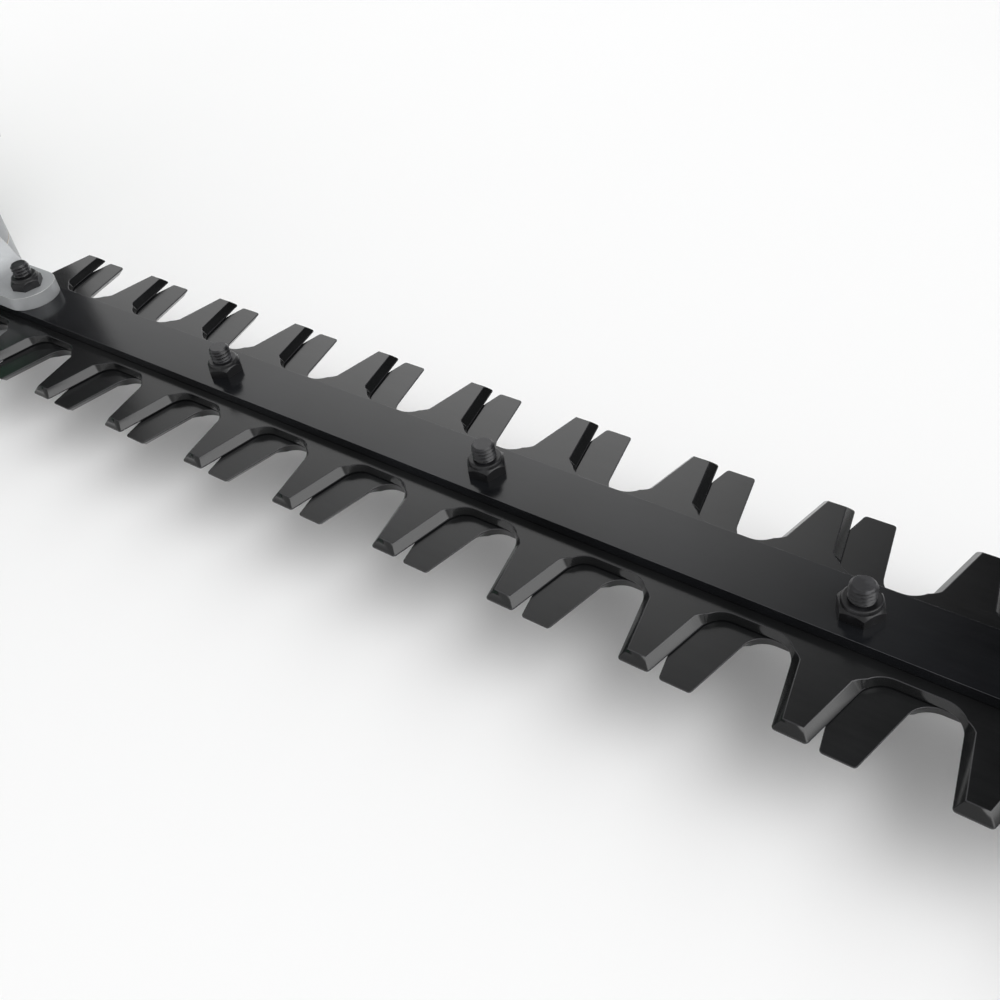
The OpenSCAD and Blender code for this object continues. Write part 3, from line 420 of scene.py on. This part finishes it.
def rib(bm, face, y):
    """One closed rib with a half-round section and rounded ends, added to bm."""
    foot = RIB_FOOT - FOOT_PER_Y * abs(y)
    head = RIB_HEAD - HEAD_PER_Y2 * y * y
    grid = []
    for i in range(RIB_ROWS + 1):
        v = -math.cos(math.pi * i / RIB_ROWS)
        z = (foot + head) / 2.0 + v * (head - foot) / 2.0
        row = []
        for j in range(RIB_COLUMNS + 1):
            u = -math.cos(math.pi * j / RIB_COLUMNS)
            rise = RIB_RISE * math.sqrt(max(0.0, 1.0 - u * u))
            rise *= max(0.0, 1.0 - v ** RIB_END_POWER) ** 0.5
            x = face - RIB_SUNK + rise
            row.append(bm.verts.new((x * MM, (y + u * RIB_HALF_WIDTH) * MM, z * MM)))
        grid.append(row)
    for lower, upper in zip(grid, grid[1:]):
        for j in range(RIB_COLUMNS):
            bm.faces.new((lower[j], lower[j + 1], upper[j + 1], upper[j]))
    right = [row[-1] for row in grid[1:]]
    left = [row[0] for row in grid[-2:0:-1]]
    bm.faces.new((grid[0] + right + grid[-1][-2::-1] + left)[::-1])


def guard_ribs():
    """Low stiffening ribs, moulded on the front face of the hand guard above the housing's dome."""
    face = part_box("hand_guard")[1].x / MM
    bm = bmesh.new()
    for k in range(-RIB_PAIRS, RIB_PAIRS + 1):
        rib(bm, face, RIB_PITCH * k)
    piece = placed("guard_ribs", bm)
    piece.data.materials.append(PALETTE["black_plastic"])
    piece.data.polygons.foreach_set("use_smooth", [True] * len(piece.data.polygons))
    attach(piece, BODY_OF["hand_guard"])


# Voxel size in metres, passes of smoothing, and the share of the faces that is kept
SHELLS = {
    "housing_left": (0.0011, 6, 0.3),
    "housing_right": (0.0011, 6, 0.3),
    "rear_grip": (0.0007, 4, 0.3),
    "front_grip": (0.0008, 4, 0.3),
    "front_handle": (0.0011, 5, 0.3),
    "trigger": (0.0006, 3, 0.5),
    "lock_button": (0.0005, 3, 0.5),
    "battery_release": (0.0005, 3, 0.5),
}
# Width and segments of the rounded edges
ROUNDED = {
    "guide_bar": (0.4, 2),
    "blade_nuts": (0.2, 2),
    "blade_washers": (0.2, 2),
    "gear_case": (0.7, 3),
    "lower_cover": (0.8, 3),
    "case_gasket": (0.1, 1),
    "switch_lever": (1.2, 3),
    "hand_guard": (0.9, 3),
    "battery_case_lower": (1.2, 3),
    "battery_case_upper": (1.0, 3),
    "cover_screws": (0.25, 2),
    "housing_screws": (0.2, 2),
    "front_handle_screws": (0.3, 2),
    "guard_screws": (0.25, 2),
}
# Nodes with a function of their own
SPECIAL = ("upper_blade", "lower_blade", "trigger_spring")

for node in sorted(NODES):
    if node in SPECIAL:
        continue
    if node in SHELLS:
        moulding(node, *SHELLS[node])
    elif node in ROUNDED:
        width, segments = ROUNDED[node]
        softened(node, width * MM, segments)
    else:
        dress(node)
trigger_spring()
guard_ribs()
bpy.data.objects["front_grip_finish"].data.materials[0] = FRONT_RUBBER
for index, material in enumerate((BAR_PAINT, BAR_EDGE_HIGHLIGHT)):
    bpy.data.objects["guide_bar_finish"].data.materials[index] = material


# ---------------------------------------------------------------- blades
# A blade as the CAD has it
PITCH = 38.0  # from one tooth to the next
TEETH = 15  # on the far side; the near side has one more, at the blade's end
REACH = 35.0  # from the middle line to the tooth tips
TIP = 8.0  # width of a tip
LEAN = 0.22  # of the flanks, for each millimetre of their height
GAP_Y = 12.5  # from the middle line to the floor of a gap
FILLET = 6.0  # between a flank and the floor
THICK = 2.6
LAND = 0.4  # height of the edge under the bevel
BEVEL = 2.0  # width of the bevel
END_CHAMFER = 5.0  # at the far corner of the blade's end
NOSE_X = 100.0  # of the first blade bolt
BOLT_PITCH = 105.0
BOLTS = 6
SLOT_R = 4.8
SLOT_HALF = 9.7  # from a slot's middle to the centre of a round end
# The toothed part is made again from here outwards, and the yoke before it is the CAD's
YOKE_END = 56.0
# What the visual blade adds to that
FLOOR_BEVEL = 0.5  # width of the bevel on the floor of a gap
RUN_OUT = 3.5  # the bevel narrows to that over the fillet's first part, which is 1 / RUN_OUT of it
CORNER = 0.9  # radius of a tip's corners
# Width of the rounded edges, painted paler as wear and as a painted edge highlight, and how sharp an edge
# has to be to get one
WORN_AND_LIT_EDGE = 0.16
WORN_AND_LIT_ANGLE = math.radians(24)
# Ground faces are those whose normals stand between these heights
GROUND_NORMALS = (0.3, 0.9)
# Steps along a fillet, round a tip's corner and round the end of a slot
ARC_STEPS = 10
CORNER_STEPS = 3
SLOT_STEPS = 16


def flank(xc, side, foot_bevel):
    """One flank of a tooth, from tip to gap, as pairs of points: on the edge and inside the bevel."""
    slant = math.hypot(1.0, LEAN)
    lean = math.atan(LEAN)
    corner_x = TIP / 2 - CORNER * math.tan(math.pi / 4 - lean / 2)
    inner_corner = (TIP / 2 + (LEAN - slant) * BEVEL, REACH - BEVEL)
    centre = (TIP / 2 + LEAN * (REACH - GAP_Y - FILLET) + FILLET * slant, GAP_Y + FILLET)
    pairs = []
    for k in range(CORNER_STEPS + 1):
        angle = math.pi / 2 + (lean - math.pi / 2) * k / CORNER_STEPS
        edge = (corner_x + CORNER * math.cos(angle), REACH - CORNER + CORNER * math.sin(angle))
        pairs.append((edge, inner_corner))
    start = math.pi + lean
    for k in range(ARC_STEPS + 1):
        share = k / ARC_STEPS
        angle = start + (1.5 * math.pi - start) * share
        bevel = max(foot_bevel, BEVEL + (foot_bevel - BEVEL) * share * RUN_OUT)
        reach = (FILLET, FILLET + bevel)
        pairs.append(
            tuple((centre[0] + r * math.cos(angle), centre[1] + r * math.sin(angle)) for r in reach)
        )
    return [tuple((xc + side * x, y) for x, y in pair) for pair in pairs]


def blade_outline(first, end):
    """The toothed part, clockwise from the yoke, as pairs of points like those of flank."""
    pairs = [((YOKE_END, y), (YOKE_END, y)) for y in (-GAP_Y, GAP_Y)]
    for k in range(TEETH):
        xc = first + PITCH * k
        left = flank(xc, -1, FLOOR_BEVEL if k else 0.0)
        pairs += left[::-1] + flank(xc, 1, FLOOR_BEVEL if k < TEETH - 1 else 0.0)
    for point in ((end - END_CHAMFER, GAP_Y), (end, GAP_Y - END_CHAMFER), (end, -GAP_Y)):
        pairs.append((point, point))
    for k in range(TEETH, -1, -1):
        xc = first + PITCH * (k - 0.5)
        outer = flank(xc, 1, FLOOR_BEVEL)[::-1]
        if k == TEETH:
            outer = outer[-CORNER_STEPS - 1:]
        for pair in outer + flank(xc, -1, FLOOR_BEVEL if k else 0.0):
            pairs.append(tuple((x, -y) for x, y in pair))
    return pairs


def slot_outline(x):
    """A slot along X with round ends."""
    points = []
    for end, start in ((1, -90.0), (-1, 90.0)):
        for k in range(SLOT_STEPS + 1):
            angle = math.radians(start + 180.0 * k / SLOT_STEPS)
            points.append((x + end * SLOT_HALF + SLOT_R * math.cos(angle), SLOT_R * math.sin(angle)))
    return points


def prism(name, levels):
    """A closed object through outlines at stated heights."""
    bm = bmesh.new()
    rings = []
    for outline, z in levels:
        rings.append([bm.verts.new((x * MM, y * MM, z * MM)) for x, y in outline])
    for lower, upper in zip(rings, rings[1:]):
        for i in range(len(lower)):
            bm.faces.new((lower[i - 1], lower[i], upper[i], upper[i - 1]))
    bm.faces.new(rings[0])
    bm.faces.new(rings[-1])
    bmesh.ops.remove_doubles(bm, verts=bm.verts, dist=WELD / 2.0)
    bmesh.ops.recalc_face_normals(bm, faces=bm.faces)
    return placed(name, bm)


def carve(piece, operation, tool):
    """Applies a boolean, then throws its tool away."""
    mod = piece.modifiers.new("carve", "BOOLEAN")
    mod.operation = operation
    mod.solver = "EXACT"
    mod.object = tool
    settle(piece)
    mesh = tool.data
    bpy.data.objects.remove(tool)
    bpy.data.meshes.remove(mesh)


def cad_yoke(node, bottom):
    """The CAD blade up to just past the end of its yoke."""
    bm = bmesh.new()
    bm.from_mesh(NODES[node].data)
    bmesh.ops.remove_doubles(bm, verts=bm.verts, dist=WELD)
    yoke = placed("yoke", bm)
    margin = 2.0
    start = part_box(node)[0].x / MM - margin
    end = YOKE_END + margin
    corners = [(start, -REACH), (start, REACH), (end, REACH), (end, -REACH)]
    half = prism("half", [(corners, bottom - margin), (corners, bottom + THICK + margin)])
    carve(yoke, "INTERSECT", half)
    return yoke


def toothed_part(node, bottom, bevel_up):
    """The blade beyond its yoke, with one continuous bevel on its upper or lower side, and its slots."""
    hair, past = 0.01, 1.0
    tips = [v.co.x for v in NODES[node].data.vertices if v.co.y > (REACH - hair) * MM]
    first = min(tips) / MM + TIP / 2
    top = bottom + THICK
    outline = blade_outline(first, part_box(node)[1].x / MM)
    edge = [pair[0] for pair in outline]
    ground = [pair[1] for pair in outline]
    if bevel_up:
        levels = [(edge, bottom), (edge, bottom + LAND), (ground, top)]
    else:
        levels = [(ground, bottom), (edge, top - LAND), (edge, top)]
    piece = prism(node + "_finish", levels)
    for i in range(BOLTS):
        slot = slot_outline(NOSE_X + BOLT_PITCH * i)
        carve(piece, "DIFFERENCE", prism("slot", [(slot, bottom - past), (slot, top + past)]))
    return piece


def finished_blade(node, bevel_up):
    """A blade with its teeth ground in one continuous bevel, and its edges rounded."""
    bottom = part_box(node)[0].z / MM
    piece = toothed_part(node, bottom, bevel_up)
    carve(piece, "UNION", cad_yoke(node, bottom))
    bm = bmesh.new()
    bm.from_mesh(piece.data)
    bmesh.ops.remove_doubles(bm, verts=bm.verts, dist=WELD)
    bmesh.ops.dissolve_limit(bm, angle_limit=FLAT, verts=bm.verts, edges=bm.edges)
    low, high = GROUND_NORMALS
    for face in bm.faces:
        face.material_index = 2 if low < abs(face.normal.z) < high else 0
    bm.to_mesh(piece.data)
    bm.free()
    piece.data.materials.clear()
    for material in (PALETTE["blade_paint"], EDGE_WEAR_AND_HIGHLIGHT["blade_paint"], GROUND):
        piece.data.materials.append(material)
    mod = piece.modifiers.new("round", "BEVEL")
    mod.width = WORN_AND_LIT_EDGE * MM
    mod.segments = 2
    mod.limit_method = "ANGLE"
    mod.angle_limit = WORN_AND_LIT_ANGLE
    # The rounded edges take the paler edge finish: wear plus a painted edge highlight
    mod.material = 1
    mod.use_clamp_overlap = False
    weigh(piece)
    settle(piece)
    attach(piece, BODY_OF[node])
    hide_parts(node)


finished_blade("upper_blade", True)
finished_blade("lower_blade", False)


# ---------------------------------------------------------------- bolts and nuts
# The bolts' threaded ends
CREST_R = 3.3
ROOT_R = 2.65
THREAD_PITCH = 1.15
THREAD_LENGTH = 5.0
END_BEVEL = 0.8
STAND_OVER = 0.05  # above the CAD bolt's end, so that only one of the two faces shows
THREAD_ROWS = 40
THREAD_SIDES = 40
THREAD_CREASE = math.radians(35.0)
# Further turn of each nut, in degrees
NUT_TURNS = (0.0, 0.0, 0.0, 30.0, 0.0, 0.0)


def bolt_index(x):
    """Which blade bolt a point at x, in metres, belongs to."""
    return min(BOLTS - 1, max(0, round((x / MM - NOSE_X) / BOLT_PITCH)))


def thread_end(index):
    """The threaded end of a blade bolt above its nut: a helical ridge under a bevelled face."""
    x = NOSE_X + BOLT_PITCH * index
    near = [v.co.z for v in NODES["blade_bolts"].data.vertices if bolt_index(v.co.x) == index]
    top = max(near) / MM + STAND_OVER
    bm = bmesh.new()
    rows = []
    for row in range(THREAD_ROWS + 1):
        below = THREAD_LENGTH * (1.0 - row / THREAD_ROWS)
        ring = []
        for k in range(THREAD_SIDES):
            turn = k / THREAD_SIDES
            ridge = abs(((top - below) / THREAD_PITCH - turn) % 1.0 - 0.5) * 2.0
            radius = min(ROOT_R + (CREST_R - ROOT_R) * ridge, CREST_R - END_BEVEL + below)
            angle = 2.0 * math.pi * turn
            point = (x + radius * math.cos(angle), radius * math.sin(angle), top - below)
            ring.append(bm.verts.new(Vector(point) * MM))
        rows.append(ring)
    for lower, upper in zip(rows, rows[1:]):
        for k in range(THREAD_SIDES):
            bm.faces.new((lower[k - 1], lower[k], upper[k], upper[k - 1]))
    bm.faces.new(rows[0])
    bm.faces.new(rows[-1])
    bmesh.ops.recalc_face_normals(bm, faces=bm.faces)
    piece = placed(f"bolt_thread_{index}", bm)
    piece.data.materials.append(THREAD)
    piece.data.polygons.foreach_set("use_smooth", [True] * len(piece.data.polygons))
    piece.data.set_sharp_from_angle(angle=THREAD_CREASE)
    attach(piece, "machine")


def turn_nuts():
    """Turns each nut about its bolt, as tightening left it."""
    for vertex in bpy.data.objects["blade_nuts_finish"].data.vertices:
        index = bolt_index(vertex.co.x)
        axis = Vector(((NOSE_X + BOLT_PITCH * index) * MM, 0.0, 0.0))
        turn = Matrix.Rotation(math.radians(NUT_TURNS[index]), 3, "Z")
        vertex.co = axis + turn @ (vertex.co - axis)


for bolt in range(BOLTS):
    thread_end(bolt)
turn_nuts()


# ---------------------------------------------------------------- set
# Half the floor's width, in metres
FLOOR_HALF = 5.0
# Brightness of the two soft boxes, and of the room away from its bright horizon; the corner's darkness
BOX_LEFT = 1.75
BOX_RIGHT = 2.8
ROOM = 0.62
CORNER_DARK = 0.97
# Share of its brightness that the left box keeps at its far end
BOX_LEFT_END = 0.35
# Direction of the right box's middle
TOWARD_RIGHT = (0.70, 0.08, 0.71)


def floor():
    """A pale matt card under the object."""
    mesh = bpy.data.meshes.new("floor")
    corners = [(x * FLOOR_HALF, y * FLOOR_HALF, 0.0) for x, y in ((-1, -1), (1, -1), (1, 1), (-1, 1))]
    mesh.from_pydata(corners, [], [(0, 1, 2, 3)])
    obj = bpy.data.objects.new("floor", mesh)
    bpy.context.scene.collection.objects.link(obj)
    g = Graph("floor_card")
    tone = g.mix(g.noise(3.0, 2.0), (0.9, 0.9, 0.9), (0.93, 0.93, 0.93))
    mesh.materials.append(g.finish(tone, 0.7, 0.0, 0.2))


def studio():
    """A pale room with a soft box behind on the left, another above on the right, and a dark corner.

    x, y and z are the direction of a ray into the room, and each step is a soft edge of a patch.
    """
    world = bpy.data.worlds.new("studio")
    bpy.context.scene.world = world
    world.use_nodes = True
    tree = world.node_tree
    back = tree.nodes["Background"]
    coord = tree.nodes.new("ShaderNodeTexCoord")
    split = tree.nodes.new("ShaderNodeSeparateXYZ")
    tree.links.new(coord.outputs["Generated"], split.inputs["Vector"])
    x, y, z = (split.outputs[axis] for axis in "XYZ")

    def feed(value, socket):
        """Gives a socket a number or the output of another node."""
        if isinstance(value, (int, float)):
            socket.default_value = value
        else:
            tree.links.new(value, socket)

    def math_node(operation, a, b):
        node = tree.nodes.new("ShaderNodeMath")
        node.operation = operation
        feed(a, node.inputs[0])
        feed(b, node.inputs[1])
        return node.outputs["Value"]

    def step(value, low, high):
        """0 below low, 1 above high, and a smooth rise between them."""
        node = tree.nodes.new("ShaderNodeMapRange")
        node.interpolation_type = "SMOOTHSTEP"
        feed(value, node.inputs["Value"])
        feed(low, node.inputs["From Min"])
        feed(high, node.inputs["From Max"])
        return node.outputs["Result"]

    def product(*terms):
        total = terms[0]
        for term in terms[1:]:
            total = math_node("MULTIPLY", total, term)
        return total

    slope = math_node("DIVIDE", z, math_node("MAXIMUM", y, 0.01))
    fall_off = math_node("MULTIPLY", 1.0 - BOX_LEFT_END, step(x, -0.85, -0.55))
    box_left = product(
        math_node("SUBTRACT", 1.0, step(x, -0.45, -0.08)),
        math_node("SUBTRACT", 1.0, step(slope, 0.85, 1.6)),
        step(y, 0.1, 0.4),
        step(z, 0.05, 0.25),
        BOX_LEFT,
        math_node("ADD", BOX_LEFT_END, fall_off),
    )
    along_x, along_y, along_z = (
        math_node("MULTIPLY", part, share) for part, share in zip((x, y, z), TOWARD_RIGHT)
    )
    toward = math_node("ADD", math_node("ADD", along_x, along_y), along_z)
    box_right = product(step(toward, 0.80, 0.95), BOX_RIGHT)
    corner = product(step(x, -0.42, -0.14), step(y, 0.3, 0.55), step(z, -0.1, 0.02))
    low_sky = math_node("SUBTRACT", 1.0, step(z, 0.05, 0.4))
    room = math_node("ADD", ROOM, product(low_sky, 1.0 - ROOM))
    room = product(room, math_node("SUBTRACT", 1.0, product(corner, CORNER_DARK)))
    total = math_node("ADD", math_node("ADD", box_left, box_right), room)
    tree.links.new(total, back.inputs["Strength"])
    back.inputs["Color"].default_value = (1.0, 1.0, 1.0, 1.0)


# The photograph's camera, solved against the cutter. Its place, in metres, is from the first blade bolt's
# axis at the upper blade's top face, and its angles are in degrees
LENS = 39.68
SENSOR = 36.0
CAMERA_FROM_BOLT = Vector((0.36765, -0.16648, 0.19654))
AZIMUTH = -42.955
ELEVATION = 41.875
ROLL = 10.297


def camera():
    """The photograph's view, down and across the cutter, towards the gear case."""
    data = bpy.data.cameras.new("camera")
    data.lens = LENS
    data.sensor_width = SENSOR
    data.clip_start = 0.01
    obj = bpy.data.objects.new("camera", data)
    bpy.context.scene.collection.objects.link(obj)
    azimuth, elevation, roll = (math.radians(a) for a in (AZIMUTH, ELEVATION, ROLL))
    flat = math.cos(elevation)
    forward = Vector((math.sin(azimuth) * flat, math.cos(azimuth) * flat, -math.sin(elevation)))
    level_right = Vector((math.cos(azimuth), -math.sin(azimuth), 0.0))
    level_down = forward.cross(level_right)
    right = math.cos(roll) * level_right + math.sin(roll) * level_down
    down = -math.sin(roll) * level_right + math.cos(roll) * level_down
    bolt = Vector((NOSE_X * MM, 0.0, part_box("upper_blade")[1].z))
    turn = Matrix((right, -down, -forward)).transposed().to_4x4()
    obj.matrix_world = Matrix.Translation(bolt + CAMERA_FROM_BOLT) @ turn
    bpy.context.scene.camera = obj


floor()
studio()
camera()
bpy.context.scene.view_settings.view_transform = "Standard"
